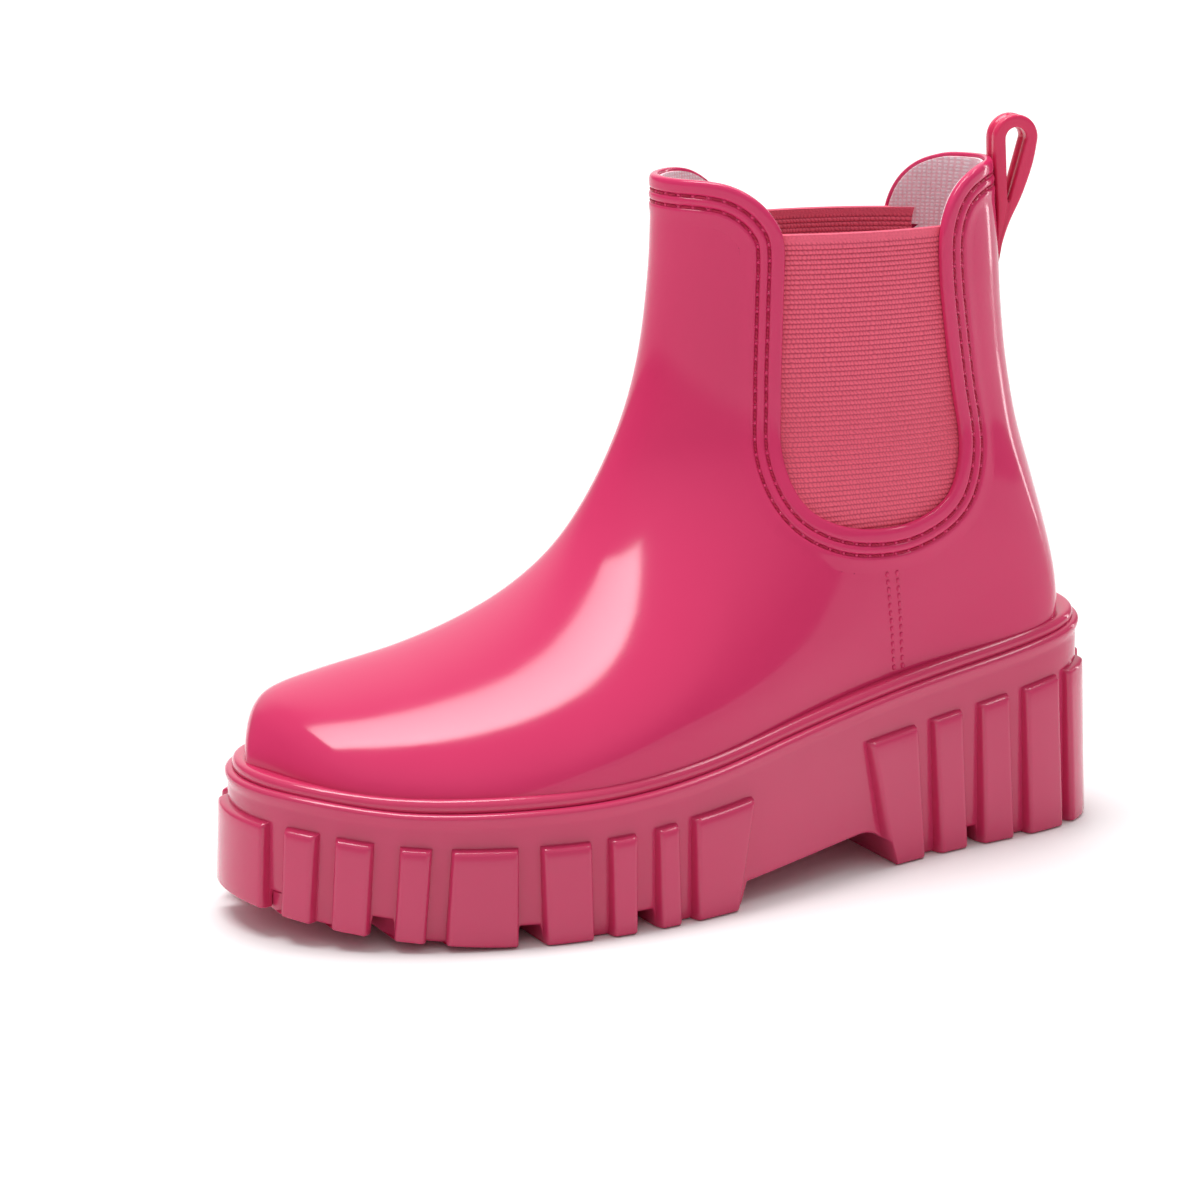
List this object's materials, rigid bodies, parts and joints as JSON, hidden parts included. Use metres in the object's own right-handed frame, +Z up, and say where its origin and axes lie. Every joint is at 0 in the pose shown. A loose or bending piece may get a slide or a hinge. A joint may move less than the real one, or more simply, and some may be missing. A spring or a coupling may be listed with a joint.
{
  "type": "ankle rain boot",
  "caption": "Left Chelsea-style moulded rain boot with elastic side gores, stitched border, heel pull loop and thick lugged platform sole.",
  "frame": {"origin": "middle of the sole's plan box, on the ground under the tread", "axes": "+X from toe to heel, +Y towards the wearer's inner (medial) side, +Z up the leg"},
  "size_m": [0.2793, 0.1085, 0.2136],
  "materials": {
    "sole_pvc": "semi-matt",
    "welt_pvc": "semi-matt",
    "upper_pvc": "high gloss",
    "loop_pvc": "satin gloss",
    "lining_knit": "fine knit",
    "gore_elastic": "ribbed elastic",
    "thread": "twisted thread",
    "board_fibre": "pressed fibre",
    "footbed_foam": "open foam",
    "footbed_cover": "knit cover"
  },
  "bodies": {
    "boot": {"outsole": "sole_pvc", "welt_strip": "welt_pvc", "upper_shell": "upper_pvc", "knit_lining": "lining_knit", "gore_lateral": "gore_elastic", "gore_medial": "gore_elastic", "stitching_lateral_inner": "thread", "stitching_lateral_outer": "thread", "stitching_medial_inner": "thread", "stitching_medial_outer": "thread", "insole_board": "board_fibre"},
    "loop": {"pull_loop": "loop_pvc"},
    "footbed": {"footbed_foam": "footbed_foam", "footbed_cover": "footbed_cover"}
  },
  "joints": [
    {"name": "pull_loop_flex", "type": "hinge", "parent": "boot", "child": "loop", "pos_m": [0.107, 0.0012, 0.1758], "axis": [0.1581, 0.9874, 0], "range_deg": [0, 35], "stiffness_Nm_per_rad": 0.05},
    {"name": "footbed_lift", "type": "hinge", "parent": "boot", "child": "footbed", "pos_m": [-0.1215, 0.007, 0.046], "axis": [0, -1, 0], "range_deg": [0, 3]}
  ]
}
